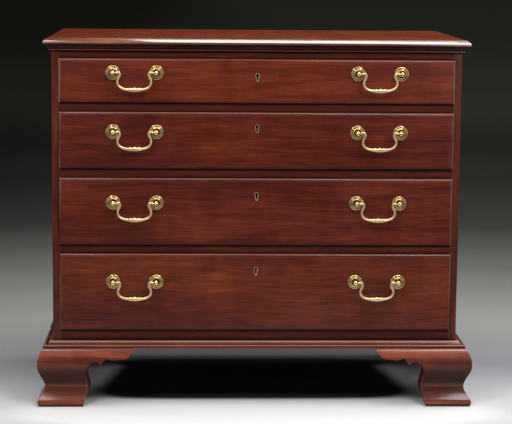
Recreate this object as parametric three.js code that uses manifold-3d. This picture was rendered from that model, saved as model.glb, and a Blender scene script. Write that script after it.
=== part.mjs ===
// A mahogany chest of four graduated long drawers on ogee bracket feet.
// Millimetres, +Z up. X runs along the front, -Y is the front. The origin is on the floor, under the middle of the
// chest's box.
import * as THREE from 'three';
import { mergeVertices } from 'three/addons/utils/BufferGeometryUtils.js';
import Module from 'manifold-3d';

const wasm = await Module();
wasm.setup();

// ---------------------------------------------------------------- driving dimensions
const GAP = 0.3; // joint line between two pieces that touch

const HEIGHT = 893; // floor to the top's surface
const CASE_W = 985; // over the two case sides
const FRONT_Y = -237.5; // plane of the case's front edges
const REAR_Y = 270.5; // plane of the case's rear edges
const CASE_Z0 = 142.3; // underside of the case and of the base moulding
const SIDE_T = 20; // case side thickness
const HALF = CASE_W / 2;
const OPEN_HALF = HALF - SIDE_T; // half width of the drawer openings
const BACK_T = 12; // back board thickness
const HOUSING = 8; // depth of the dust boards' housings in the sides

const TOP_T = 20; // top board thickness
const TOP_HALF = 511.5; // half width over the top's moulded edge
const TOP_FRONT = FRONT_Y - 19; // foremost edge of the top
const TOP_REAR = 274.5; // the top passes the case's back a little

// Drawer openings, top drawer first: bottom and top of each opening.
const OPENINGS = [
  [740.6, 843.4],
  [581.6, 715.3],
  [395.7, 555.7],
  [185.7, 370.8],
];
const HANDLE_Z = [812, 670, 498.6, 305]; // height of the bails' pivots
const KEYHOLE_Z = [802.1, 678.3, 514.2, 330.6]; // middle of each keyhole
const TAILS = [3, 4, 4, 5]; // dovetails at each corner of a drawer

const RAIL_DEPTH = 60; // front to back of a rail
const DUST_T = 12.7; // dust board thickness
const RUNNER_W = 30; // width of the runners and kickers

const LIP = 2.2; // how far a drawer's lip laps over the rails
const LIP_SIDE = 3; // and over the case sides
const PROUD = 7; // drawer face in front of the case
const FRONT_BACK = 15; // back of the drawer front, behind the case's front plane
const DRAWER_LEN = 485.5; // rear of the drawer, behind the case's front plane
const BOARD_T = 11; // drawer sides and backs
const BOTTOM_T = 8; // drawer bottoms
const GROOVE = 5; // depth of the grooves for the bottom
const CLEAR_SIDE = 0.8; // running clearance each side of a drawer
const CLEAR_LOW = 0.5;
const CLEAR_TOP = 1.2;
const LOCK_HALF = 38; // half width of the mortise for the lock, in the back of each drawer front
const LOCK_HIGH = 58; // its height, from the front's top edge down
const LOCK_DEEP = 9; // its depth, from the front's inner face
const SELVAGE_Y = 3; // the lock's top plate lies on the front's top edge, from here to the inner face
const PIN = 5; // narrow width of the dovetail pins
const SLOPE = 2.2; // how much each dovetail narrows on each side

const HANDLE_X = 294; // middle of each handle from the middle of the chest
const POST_X = 52; // each post from the middle of its handle
const PIVOT_D = 17; // pivot in front of the drawer face
const ROSETTE_R = 17.5;
const SHANK_R = 3;

const BASE_P = 21; // how far the base moulding projects
const FOOT_P = 37; // how far the feet bulge beyond the case
const FOOT_IN = 12; // inner face of a foot's bracket, inside the case plane
const FOOT_TOP = CASE_Z0 - GAP;
const REAR_SHIFT = 20; // the rear feet are that much shorter, front to back, than the front ones

// ---------------------------------------------------------------- materials
const wood = (name) =>
  new THREE.MeshStandardMaterial({ name, color: 0x5b2a1c, roughness: 0.34, metalness: 0, flatShading: true });
const pine = (name) =>
  new THREE.MeshStandardMaterial({ name, color: 0xa9814f, roughness: 0.7, metalness: 0, flatShading: true });
const brass = (name) =>
  new THREE.MeshStandardMaterial({ name, color: 0xb9974f, roughness: 0.28, metalness: 1, flatShading: true });

// ---------------------------------------------------------------- geometry helpers
// One set of shared vertices and no empty triangles, with the faces pointing out.
function tidy(geometry) {
  let g = geometry.clone();
  for (const name of Object.keys(g.attributes)) if (name !== 'position') g.deleteAttribute(name);
  g = mergeVertices(g, 1e-4);
  const index = g.getIndex().array;
  const p = g.getAttribute('position');
  const kept = [];
  for (let i = 0; i < index.length; i += 3) {
    const [a, b, c] = [index[i], index[i + 1], index[i + 2]];
    if (a !== b && b !== c && c !== a) kept.push(a, b, c);
  }
  const at = (i) => new THREE.Vector3().fromBufferAttribute(p, i);
  let volume = 0;
  for (let i = 0; i < kept.length; i += 3) volume += at(kept[i]).dot(at(kept[i + 1]).cross(at(kept[i + 2])));
  if (volume < 0) for (let i = 0; i < kept.length; i += 3) [kept[i + 1], kept[i + 2]] = [kept[i + 2], kept[i + 1]];
  g.setIndex(kept);
  g.clearGroups();
  return g;
}

function solid(geometry) {
  const g = tidy(geometry);
  return new wasm.Manifold(
    new wasm.Mesh({
      numProp: 3,
      vertProperties: new Float32Array(g.getAttribute('position').array),
      triVerts: new Uint32Array(g.getIndex().array),
    }),
  );
}

function surface(manifold) {
  const mesh = manifold.getMesh();
  const g = new THREE.BufferGeometry();
  const points = new Float32Array(mesh.numVert * 3);
  for (let i = 0; i < mesh.numVert; i++)
    for (let k = 0; k < 3; k++) points[3 * i + k] = mesh.vertProperties[i * mesh.numProp + k];
  g.setAttribute('position', new THREE.BufferAttribute(points, 3));
  g.setIndex(Array.from(mesh.triVerts));
  return g;
}

const cut = (body, ...tools) => tools.reduce((left, tool) => left.subtract(solid(tool)), body);
const join = (body, ...others) => others.reduce((whole, other) => whole.add(solid(other)), solid(body));

function block(x0, x1, y0, y1, z0, z1) {
  const g = new THREE.BoxGeometry(x1 - x0, y1 - y0, z1 - z0);
  g.translate((x0 + x1) / 2, (y0 + y1) / 2, (z0 + z1) / 2);
  return tidy(g);
}

function extruded(points, depth) {
  const shape = new THREE.Shape(points.map(([a, b]) => new THREE.Vector2(a, b)));
  return new THREE.ExtrudeGeometry(shape, { depth, bevelEnabled: false, steps: 1 });
}

// An outline in Y and Z, drawn out along X.
function prismX(points, x0, x1) {
  const g = extruded(points, x1 - x0);
  g.applyMatrix4(new THREE.Matrix4().set(0, 0, 1, x0, 1, 0, 0, 0, 0, 1, 0, 0, 0, 0, 0, 1));
  return tidy(g);
}

// An outline in X and Z, drawn out along Y.
function prismY(points, y0, y1) {
  const g = extruded(points, y1 - y0);
  g.applyMatrix4(new THREE.Matrix4().set(1, 0, 0, 0, 0, 0, -1, y1, 0, 1, 0, 0, 0, 0, 0, 1));
  return tidy(g);
}

// A body through a row of rings with as many points each. flat gives a ring's point as two numbers, to close the ends.
function lofted(rings, flat) {
  const n = rings[0].length;
  const index = [];
  for (let r = 0; r + 1 < rings.length; r++)
    for (let i = 0; i < n; i++) {
      const j = (i + 1) % n;
      const [a, b, c, d] = [r * n + i, r * n + j, (r + 1) * n + j, (r + 1) * n + i];
      index.push(a, b, c, a, c, d);
    }
  // Each end is closed against its ring's own direction, so that it matches the walls.
  for (const [ring, start, sign] of [
    [rings[0], 0, -1],
    [rings[rings.length - 1], (rings.length - 1) * n, 1],
  ]) {
    const outline = ring.map((p) => new THREE.Vector2(...flat(p)));
    const turn = sign * THREE.ShapeUtils.area(outline);
    for (const [a, b, c] of THREE.ShapeUtils.triangulateShape(outline, [])) {
      const area = THREE.ShapeUtils.area([outline[a], outline[b], outline[c]]);
      index.push(start + a, ...(area * turn > 0 ? [start + b, start + c] : [start + c, start + b]));
    }
  }
  const g = new THREE.BufferGeometry();
  g.setAttribute('position', new THREE.Float32BufferAttribute(rings.flat(2), 3));
  g.setIndex(index);
  return tidy(g);
}

function mirrored(geometry) {
  const g = geometry.clone();
  g.scale(-1, 1, 1);
  return tidy(g); // which turns the faces out again
}

// A moulding mitred round the front and both sides of the case. Its section is a list of [projection, height].
function mouldingRound(section) {
  const stations = [
    [-HALF, REAR_Y, -1, 0],
    [-HALF, FRONT_Y, -1, -1],
    [HALF, FRONT_Y, 1, -1],
    [HALF, REAR_Y, 1, 0],
  ];
  const rings = stations.map(([x, y, dx, dy]) => section.map(([p, z]) => [x + dx * p, y + dy * p, z]));
  return lofted(rings, ([x, , z]) => [x, z]);
}

const parts = new THREE.Group();

function piece(name, geometry, material, parent) {
  const mesh = new THREE.Mesh(geometry, material(name));
  mesh.name = name;
  parent.add(mesh);
  return mesh;
}

// ---------------------------------------------------------------- case
const chest = new THREE.Group();
parts.add(chest);

// Top board: flat on top, a rounded edge, a narrow fillet, then a hollow under it. Inset from the tip and height.
const TOP_EDGE = [
  [10.5, HEIGHT],
  [8.2, HEIGHT - 0.5],
  [5.2, HEIGHT - 1.9],
  [2.4, HEIGHT - 4.4],
  [0.6, HEIGHT - 7.2],
  [0, HEIGHT - 8.4],
  [0, HEIGHT - 13],
  [1.6, HEIGHT - 13.4],
  [5.2, HEIGHT - 14.8],
  [8.6, HEIGHT - 17.2],
  [10.6, HEIGHT - 20],
];
piece(
  'top_board',
  lofted(
    TOP_EDGE.map(([inset, z]) => {
      const w = TOP_HALF - inset;
      const front = TOP_FRONT + inset;
      return [
        [-w, front, z],
        [w, front, z],
        [w, TOP_REAR, z],
        [-w, TOP_REAR, z],
      ];
    }),
    ([x, y]) => [x, y],
  ),
  wood,
  chest,
);

const CASE_TOP = HEIGHT - TOP_T - GAP;

// Strip under the top: a fillet, a small hollow and a bead.
piece(
  'under_top_moulding',
  mouldingRound([
    [GAP, CASE_TOP],
    [7.4, CASE_TOP],
    [7.4, CASE_TOP - 1.8],
    [5.6, CASE_TOP - 2.6],
    [4.5, CASE_TOP - 4.4],
    [4.4, CASE_TOP - 5.6],
    [5.3, CASE_TOP - 6.2],
    [5.6, CASE_TOP - 7.4],
    [5.0, CASE_TOP - 8.7],
    [3.6, CASE_TOP - 9.4],
    [GAP, CASE_TOP - 9.4],
  ]),
  wood,
  chest,
);

// Case side: a board with a rabbet for the back and housings for the dust boards and the case bottom.
const CASE_BOTTOM_T = 16.1;
const bottomTop = CASE_Z0 + CASE_BOTTOM_T;
const backFront = REAR_Y - BACK_T; // the back board's inner face
const housingFront = FRONT_Y + 20; // the housings stop short of the front, so they don't show there
const dusts = OPENINGS.slice(0, 3).map(([low]) => low); // the dust boards' top faces
const inner = OPEN_HALF + HOUSING;
const rightSide = cut(
  solid(block(OPEN_HALF, HALF, FRONT_Y, REAR_Y, CASE_Z0, CASE_TOP)),
  block(OPEN_HALF - 1, OPEN_HALF + 10, backFront - GAP, REAR_Y + 1, CASE_Z0 - 1, CASE_TOP + 1),
  block(OPEN_HALF - 1, inner, housingFront - GAP, REAR_Y, CASE_Z0 - 1, bottomTop + GAP),
  ...dusts.map((z) => block(OPEN_HALF - 1, inner, housingFront - GAP, REAR_Y, z - DUST_T - GAP, z + GAP)),
);
const sideBoard = surface(rightSide);
piece('case_side_right', sideBoard, wood, chest);
piece('case_side_left', mirrored(sideBoard), wood, chest);

const RAIL_HALF = OPEN_HALF - GAP;
const TONGUE_HALF = inner - GAP;
const DUST_REAR = backFront - GAP;

piece(
  'case_bottom',
  surface(
    join(
      block(-RAIL_HALF, RAIL_HALF, FRONT_Y, DUST_REAR, CASE_Z0, bottomTop),
      block(-TONGUE_HALF, TONGUE_HALF, housingFront, DUST_REAR, CASE_Z0, bottomTop),
    ),
  ),
  pine,
  chest,
);

// Three boards side by side make the back: two grooves mark their joints.
const BACK_HALF = OPEN_HALF + 10 - GAP;
const backJoints = [CASE_Z0 + 235, CASE_Z0 + 500];
piece(
  'back_board',
  prismX(
    [
      [backFront, CASE_Z0],
      [REAR_Y, CASE_Z0],
      ...backJoints.flatMap((z) => [
        [REAR_Y, z - 1.5],
        [REAR_Y - 3, z],
        [REAR_Y, z + 1.5],
      ]),
      [REAR_Y, CASE_TOP],
      [backFront, CASE_TOP],
    ],
    -BACK_HALF,
    BACK_HALF,
  ),
  pine,
  chest,
);

// Rails. The top one carries two kickers, which keep an open drawer from tipping.
const railRear = FRONT_Y + RAIL_DEPTH;
const topRailZ = OPENINGS[0][1];
piece(
  'top_rail',
  surface(
    join(
      block(-RAIL_HALF, RAIL_HALF, FRONT_Y, railRear, topRailZ, CASE_TOP),
      block(-RAIL_HALF, -RAIL_HALF + RUNNER_W, railRear - 5, DUST_REAR, topRailZ, CASE_TOP),
      block(RAIL_HALF - RUNNER_W, RAIL_HALF, railRear - 5, DUST_REAR, topRailZ, CASE_TOP),
    ),
  ),
  wood,
  chest,
);
for (let i = 0; i < 3; i++) {
  const [low, high] = [OPENINGS[i + 1][1], OPENINGS[i][0]];
  piece(
    `drawer_divider_${i + 1}`,
    surface(
      join(
        block(-RAIL_HALF, RAIL_HALF, FRONT_Y, railRear, low, high),
        block(-RAIL_HALF, RAIL_HALF, railRear - 5, DUST_REAR, high - DUST_T, high),
        block(-TONGUE_HALF, TONGUE_HALF, housingFront, DUST_REAR, high - DUST_T, high),
      ),
    ),
    wood,
    chest,
  );
}
const bottomRailZ = bottomTop + GAP;
const bottomRailTop = OPENINGS[3][0];
piece(
  'bottom_rail',
  surface(
    join(
      block(-RAIL_HALF, RAIL_HALF, FRONT_Y, railRear, bottomRailZ, bottomRailTop),
      block(-RAIL_HALF, -RAIL_HALF + RUNNER_W, railRear - 5, DUST_REAR, bottomRailZ, bottomRailTop),
      block(RAIL_HALF - RUNNER_W, RAIL_HALF, railRear - 5, DUST_REAR, bottomRailZ, bottomRailTop),
    ),
  ),
  wood,
  chest,
);

// Base moulding: a rounded top, a small hollow, and a fillet over an upright face.
piece(
  'base_moulding',
  mouldingRound([
    [GAP, CASE_Z0],
    [BASE_P, CASE_Z0],
    [BASE_P, CASE_Z0 + 6.2],
    [20.4, CASE_Z0 + 7.1],
    [18.6, CASE_Z0 + 7.5],
    [16.2, CASE_Z0 + 7.9],
    [13.4, CASE_Z0 + 8.9],
    [11.2, CASE_Z0 + 10.3],
    [10.4, CASE_Z0 + 11.2],
    [9.4, CASE_Z0 + 13.4],
    [7.2, CASE_Z0 + 15.2],
    [4.2, CASE_Z0 + 16.1],
    [GAP, CASE_Z0 + 16.3],
  ]),
  wood,
  chest,
);

// ---------------------------------------------------------------- feet
// Ogee face of a foot: height and projection beyond the case, from the floor up.
const OGEE = [
  [0, 30.6],
  [1.8, 33.4],
  [4.4, 35.4],
  [8, 36.6],
  [12.5, 36.8],
  [15.6, 35.6],
  [18.2, 33.6],
  [22.5, 30.5],
  [28, 27],
  [33.5, 23.6],
  [38.5, 21.1],
  [44, 19.6],
  [49.5, 19.2],
  [55, 20.2],
  [61.5, 22.4],
  [69, 25.8],
  [77, 29.6],
  [85, 33.2],
  [92, 35.7],
  [100, FOOT_P],
  [108, 36.9],
  [115, 36],
  [122, 33.9],
  [129.5, 30.6],
  [136.5, 27],
  [140.4, 24.6],
  [FOOT_TOP, 23],
];

// What is cut away under a bracket: distance from the toe's outer corner, and height. It follows the inner edge of the
// foot, an arch, a cusp, and the wing's lower edge.
const CUTAWAY = [
  [109.6, -1],
  [109.6, 0],
  [112, 3],
  [113, 7],
  [113.3, 15],
  [115.2, 20.5],
  [118.8, 26.5],
  [122.6, 33.5],
  [125.4, 41],
  [126.4, 48.5],
  [125.8, 56],
  [123, 65.5],
  [119.9, 76],
  [118.6, 88],
  [119.6, 97],
  [123.2, 103.8],
  [128.8, 108.6],
  [136, 111.6],
  [144, 111.4],
  [150.2, 108.2],
  [154.4, 103.6],
  [157.6, 108.8],
  [161.6, 115.2],
  [167.4, 120.6],
  [176, 117.4],
  [184, 115.8],
  [200, 117.4],
  [215.8, 119.6],
  [222.4, 123.6],
  [228.6, 130.4],
  [232.4, 137],
  [234.4, CASE_Z0 + 1],
  [260, CASE_Z0 + 1],
  [260, -1],
];

const WING = 202; // length of the uncut brackets, from the case's corner

// The upright inner edge of a bracket's face is rounded over, most where the foot is narrowest. This is what that takes
// away, with X along the face from the case's corner and -Y out of it: height and radius of the rounding.
const ROUNDING = [
  [6, 0.6],
  [18, 2],
  [30, 7.5],
  [42, 12.5],
  [53, 13],
  [66, 9],
  [80, 3],
  [95, 0.6],
];
const along = (row, z, from, to) => {
  const k = row.findIndex((point, i) => i > 0 && point[from] >= z && row[i - 1][from] <= z);
  const [a, b] = [row[k - 1], row[k]];
  return a[to] + ((b[to] - a[to]) * (z - a[from])) / (b[from] - a[from] || 1);
};
const rounding = (() => {
  const edge = CUTAWAY.slice(1, 16); // the part of the outline that is the foot's inner edge
  const [low, high] = [ROUNDING[0][0], ROUNDING[ROUNDING.length - 1][0]];
  const heights = [...ROUNDING.map(([z]) => z), ...OGEE.map(([z]) => z), ...edge.map(([, z]) => z)]
    .filter((z) => z >= low && z <= high)
    .sort((a, b) => a - b)
    .filter((z, i, all) => i === 0 || z - all[i - 1] > 0.5);
  const rings = heights.map((z) => {
    const [p, r] = [along(OGEE, z, 0, 1), along(ROUNDING, z, 0, 1)];
    const x = along(edge, z, 1, 0) - FOOT_P;
    const arc = [0, 1, 2, 3, 4].map((k) => {
      const a = (k * Math.PI) / 8;
      return [x - r + r * Math.sin(a), -p + r - r * Math.cos(a), z];
    });
    return [...arc, [x + 4, -p + r, z], [x + 4, -p - 4, z], [x - r, -p - 4, z]];
  });
  return lofted(rings, ([x, y]) => [x, y]);
})();
const moved = (geometry, ...rows) => tidy(geometry.clone().applyMatrix4(new THREE.Matrix4().set(...rows, 0, 0, 0, 1)));

// Front foot on the left, from the case's front left corner at floor level: two mitred brackets and a corner block.
const frontFoot = (() => {
  const brackets = lofted(
    OGEE.map(([z, p]) => [
      [-p, -p, z],
      [WING, -p, z],
      [WING, FOOT_IN, z],
      [FOOT_IN, FOOT_IN, z],
      [FOOT_IN, WING, z],
      [-p, WING, z],
    ]),
    ([x, y]) => [x, y],
  );
  const under = CUTAWAY.map(([u, z]) => [u - FOOT_P, z]);
  const otherRounding = moved(rounding, 0, 1, 0, 0, 1, 0, 0, 0, 0, 0, 1, 0);
  const shaped = cut(solid(brackets), prismY(under, -60, 40), prismX(under, -60, 40), rounding, otherRounding);
  return surface(shaped.add(solid(block(-6, 56, -6, 56, 2, FOOT_TOP))));
})();

// Rear foot on the left, from the case's rear left corner: one ogee bracket at the side, and a plain one at the back.
const rearFoot = (() => {
  const BACK_BRACKET = 150;
  const brackets = lofted(
    OGEE.map(([z, p]) => [
      [-p, 0, z],
      [-p, -WING - 20, z],
      [FOOT_IN, -WING - 20, z],
      [FOOT_IN, -20, z],
      [BACK_BRACKET, -20, z],
      [BACK_BRACKET, 0, z],
    ]),
    ([x, y]) => [x, y],
  );
  const under = CUTAWAY.map(([u, z]) => [REAR_SHIFT - u, z]);
  const behind = [
    [64, -1],
    [64, 12],
    [74, 40],
    [100, 80],
    [132, 104],
    [BACK_BRACKET + 5, 112],
    [BACK_BRACKET + 5, -1],
  ];
  const sideRounding = moved(rounding, 0, 1, 0, 0, -1, 0, 0, REAR_SHIFT - FOOT_P, 0, 0, 1, 0);
  const shaped = cut(solid(brackets), prismX(under, -60, 40), prismY(behind, -30, 10), sideRounding);
  return surface(shaped.add(solid(block(-6, 52, -56, -6, 2, FOOT_TOP))));
})();

for (const [name, geometry, x, y] of [
  ['foot_front_left', frontFoot, -HALF, FRONT_Y],
  ['foot_front_right', mirrored(frontFoot), HALF, FRONT_Y],
  ['foot_rear_left', rearFoot, -HALF, REAR_Y],
  ['foot_rear_right', mirrored(rearFoot), HALF, REAR_Y],
])
  piece(name, geometry, wood, chest).position.set(x, y, 0);

// ---------------------------------------------------------------- handles
// Post with its rosette, turned about the axis that stands out of the drawer face. Distance from the face, and radius.
const POST = [
  [-27.5, 0],
  [-27.5, SHANK_R],
  [GAP, SHANK_R],
  [GAP, ROSETTE_R],
  [1.5, ROSETTE_R],
  [2.9, 16.2],
  [2.9, 14.6],
  [2.0, 12.4],
  [3.0, 10.6],
  [4.6, 9.2],
  [5.2, 7.2],
  [7.0, 3.9],
  [13.0, 3.9],
  [PIVOT_D, 5.7],
  [21.0, 3.9],
  [22.7, 0],
];
const post = (() => {
  const turned = new THREE.LatheGeometry(POST.map(([d, r]) => new THREE.Vector2(r, -d)), 12);
  const eye = new THREE.CylinderGeometry(2.75, 2.75, 16, 10);
  eye.rotateZ(Math.PI / 2);
  eye.translate(0, -PIVOT_D, 0);
  return surface(cut(solid(turned), eye));
})();

// Bail: half of its centre line, from the pin in the post to the middle of the grip. Across, down, and radius.
const BAIL = [
  [55.2, 0, 2],
  [46, 0.1, 2],
  [41.2, 1.3, 2.3],
  [37.2, 0.7, 2.6],
  [35.0, -1.8, 2.7],
  [34.6, -5.2, 2.6],
  [36.2, -10.2, 2.5],
  [38.8, -15.6, 2.5],
  [40.1, -20.8, 2.5],
  [39.5, -26.2, 2.5],
  [36.6, -31.2, 2.6],
  [31.6, -35.3, 2.7],
  [25.4, -37.9, 2.8],
  [19.6, -39.1, 3.4],
  [14.6, -39.5, 4.3],
  [11.8, -39.6, 3.9],
  [8.6, -39.7, 4.9],
  [5.6, -39.8, 4.5],
  [0, -40, 5.6],
];
const BAIL_SIDES = 8;
const bail = (() => {
  const half = BAIL.map(([x, z, r]) => [-x, z, r]);
  const line = [...half, ...BAIL.slice(0, -1).reverse()];
  const rings = line.map(([x, z, r], i) => {
    const [a, b] = [line[Math.max(0, i - 1)], line[Math.min(line.length - 1, i + 1)]];
    const along = new THREE.Vector2(b[0] - a[0], b[1] - a[1]).normalize();
    return Array.from({ length: BAIL_SIDES }, (_, k) => {
      const turn = (2 * Math.PI * k) / BAIL_SIDES;
      const [c, s] = [r * Math.cos(turn), r * Math.sin(turn)];
      return [x - along.y * s, c, z + along.x * s];
    });
  });
  return lofted(rings, ([, y, z]) => [y, z]);
})();

// ---------------------------------------------------------------- drawers
// Keyhole, as large as its brass liner, from its middle: a round head over a narrower foot.
const KEYHOLE = (() => {
  const points = [];
  for (let a = -40; a <= 220; a += 37.15)
    points.push([5.4 * Math.cos((a * Math.PI) / 180), 5.1 + 5.4 * Math.sin((a * Math.PI) / 180)]);
  points.push([-4.2, -6.6], [-2.4, -10], [2.4, -10], [4.2, -6.6]);
  return points;
})();

// Even dovetails over a height: each tail's low and high edge at its wide end.
function tails(low, high, count) {
  const wide = (high - low - (count + 1) * PIN) / count;
  return Array.from({ length: count }, (_, k) => [low + PIN + k * (wide + PIN), low + PIN + k * (wide + PIN) + wide]);
}

// A drawer is drawn from the middle of its opening's lower edge, at the case's front plane.
OPENINGS.forEach(([openLow, openHigh], i) => {
  const name = `drawer_${i + 1}`;
  const drawer = new THREE.Group();
  drawer.position.set(0, FRONT_Y, openLow);
  parts.add(drawer);

  const opening = openHigh - openLow;
  const coreHalf = OPEN_HALF - CLEAR_SIDE;
  const coreTop = opening - CLEAR_TOP;
  const lipHalf = OPEN_HALF + LIP_SIDE;
  const handleZ = HANDLE_Z[i] - openLow;
  const keyZ = KEYHOLE_Z[i] - openLow;

  // front: face, fillet, rounded lip, and the core that enters the opening
  const rectangle = (half, low, high, y) => [
    [-half, y, low],
    [half, y, low],
    [half, y, high],
    [-half, y, high],
  ];
  const lipRing = (inset, y) => rectangle(lipHalf - inset, -LIP + inset, opening + LIP - inset, y);
  const panel = lofted(
    [
      lipRing(6.9, -PROUD),
      lipRing(6.6, -PROUD + 1.1),
      lipRing(5.0, -PROUD + 1.2),
      lipRing(3.4, -PROUD + 1.6),
      lipRing(1.9, -PROUD + 2.4),
      lipRing(0.8, -PROUD + 3.4),
      lipRing(0.2, -PROUD + 4.6),
      lipRing(0, -PROUD + 5.6),
      lipRing(0, -GAP),
      rectangle(coreHalf, CLEAR_LOW, coreTop, -GAP),
      rectangle(coreHalf, CLEAR_LOW, coreTop, FRONT_BACK),
    ],
    ([x, , z]) => [x, z],
  );

  const boardLow = CLEAR_LOW;
  const boardHigh = opening - 3.2;
  const boardIn = coreHalf - BOARD_T; // inner face of the right side board
  const tailTip = FRONT_BACK - 12.7;
  const frontTails = tails(boardLow, boardHigh, TAILS[i]);
  const bottomLow = boardLow + 8;
  const bottomHigh = bottomLow + BOTTOM_T;
  const backLow = bottomHigh + GAP;
  const backTails = tails(backLow, boardHigh, TAILS[i]);
  const backShoulder = DRAWER_LEN - BOARD_T;

  const frontSockets = frontTails.flatMap(([a, b]) => {
    const outline = [
      [tailTip - GAP, a - GAP],
      [FRONT_BACK + GAP, a + SLOPE - GAP],
      [FRONT_BACK + GAP, b - SLOPE + GAP],
      [tailTip - GAP, b + GAP],
    ];
    return [prismX(outline, boardIn - GAP, coreHalf + 1), prismX(outline, -coreHalf - 1, -boardIn + GAP)];
  });
  const shankHoles = [-1, 1].flatMap((side) =>
    [-1, 1].map((end) => {
      const hole = new THREE.CylinderGeometry(SHANK_R + 0.6, SHANK_R + 0.6, 60, 8);
      hole.translate(side * HANDLE_X + end * POST_X, 0, handleZ);
      return hole;
    }),
  );
  piece(
    `${name}_front`,
    surface(
      cut(
        solid(panel),
        ...frontSockets,
        ...shankHoles,
        block(-boardIn - GROOVE, boardIn + GROOVE, FRONT_BACK - GROOVE, FRONT_BACK + 1, bottomLow - GAP, bottomHigh + GAP),
        prismY(KEYHOLE.map(([x, z]) => [x, z + keyZ]), -PROUD - 1, FRONT_BACK + 1),
        block(-LOCK_HALF, LOCK_HALF, FRONT_BACK - LOCK_DEEP, FRONT_BACK + 1, coreTop - LOCK_HIGH, coreTop + 1),
        block(-LOCK_HALF, LOCK_HALF, SELVAGE_Y, FRONT_BACK + 1, coreTop - 1.8, coreTop + 1),
      ),
    ),
    wood,
    drawer,
  );

  // side: dovetailed at both ends, grooved for the bottom
  const outline = [];
  outline.push([FRONT_BACK + GAP, boardLow]);
  outline.push([DRAWER_LEN, boardLow], [DRAWER_LEN, backLow - GAP], [backShoulder - GAP, backLow - GAP]);
  for (const [a, b] of backTails)
    outline.push(
      [backShoulder - GAP, a + SLOPE],
      [DRAWER_LEN, a],
      [DRAWER_LEN, b],
      [backShoulder - GAP, b - SLOPE],
    );
  outline.push([backShoulder - GAP, boardHigh], [FRONT_BACK + GAP, boardHigh]);
  for (const [a, b] of [...frontTails].reverse())
    outline.push([FRONT_BACK + GAP, b - SLOPE], [tailTip, b], [tailTip, a], [FRONT_BACK + GAP, a + SLOPE]);
  const side = surface(
    cut(
      solid(prismX(outline, boardIn, coreHalf)),
      block(boardIn - 1, boardIn + GROOVE, tailTip - 1, DRAWER_LEN + 1, bottomLow - GAP, bottomHigh + GAP),
    ),
  );
  piece(`${name}_side_right`, side, pine, drawer);
  piece(`${name}_side_left`, mirrored(side), pine, drawer);

  // back: its pins stand between the sides' tails
  const backSockets = backTails.flatMap(([a, b]) => {
    const socket = [
      [backShoulder - GAP - 0.2, a + SLOPE - GAP],
      [DRAWER_LEN + 0.2, a - GAP],
      [DRAWER_LEN + 0.2, b + GAP],
      [backShoulder - GAP - 0.2, b - SLOPE + GAP],
    ];
    return [prismX(socket, boardIn - GAP, coreHalf + 1), prismX(socket, -coreHalf - 1, -boardIn + GAP)];
  });
  piece(
    `${name}_back`,
    surface(cut(solid(block(-coreHalf, coreHalf, backShoulder, DRAWER_LEN, backLow, boardHigh)), ...backSockets)),
    pine,
    drawer,
  );

  const bottomHalf = boardIn + GROOVE - GAP;
  piece(
    `${name}_bottom`,
    block(-bottomHalf, bottomHalf, FRONT_BACK - GROOVE + GAP, DRAWER_LEN, bottomLow, bottomHigh),
    pine,
    drawer,
  );

  // handles
  for (const [word, side] of [
    ['left', -1],
    ['right', 1],
  ]) {
    const handle = new THREE.Group();
    handle.position.set(side * HANDLE_X, -PROUD, handleZ);
    drawer.add(handle);
    piece(`handle_${i + 1}_${word}_post_outer`, post, brass, handle).position.x = side * POST_X;
    piece(`handle_${i + 1}_${word}_post_inner`, post, brass, handle).position.x = -side * POST_X;
    piece(`handle_${i + 1}_${word}_bail`, bail, brass, handle).position.y = -PIVOT_D;
  }
});

export default parts;
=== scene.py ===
import math

import bmesh
import bpy
from mathutils import Matrix, Vector


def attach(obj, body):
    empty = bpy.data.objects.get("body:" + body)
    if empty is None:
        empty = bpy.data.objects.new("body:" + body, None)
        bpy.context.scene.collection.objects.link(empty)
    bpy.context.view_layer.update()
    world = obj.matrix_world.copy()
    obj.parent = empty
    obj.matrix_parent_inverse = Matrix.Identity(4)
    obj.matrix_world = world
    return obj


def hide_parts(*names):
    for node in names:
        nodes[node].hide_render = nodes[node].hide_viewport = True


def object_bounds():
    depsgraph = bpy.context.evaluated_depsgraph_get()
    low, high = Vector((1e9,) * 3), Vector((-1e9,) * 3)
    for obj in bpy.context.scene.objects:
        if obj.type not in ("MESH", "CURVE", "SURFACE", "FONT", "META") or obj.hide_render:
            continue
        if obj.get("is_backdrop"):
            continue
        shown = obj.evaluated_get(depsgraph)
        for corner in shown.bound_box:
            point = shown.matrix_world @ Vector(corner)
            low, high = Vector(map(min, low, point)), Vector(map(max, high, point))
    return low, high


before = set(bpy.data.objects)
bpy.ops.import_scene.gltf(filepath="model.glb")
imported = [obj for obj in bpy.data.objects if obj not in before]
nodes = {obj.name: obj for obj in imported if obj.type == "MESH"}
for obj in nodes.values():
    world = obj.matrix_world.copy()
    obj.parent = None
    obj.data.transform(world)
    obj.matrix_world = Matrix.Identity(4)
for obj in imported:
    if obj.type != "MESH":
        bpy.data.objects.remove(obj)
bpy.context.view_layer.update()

# The chest's looks, in metres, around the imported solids. +Z is up and -Y is the front.
MM = 0.001

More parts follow.
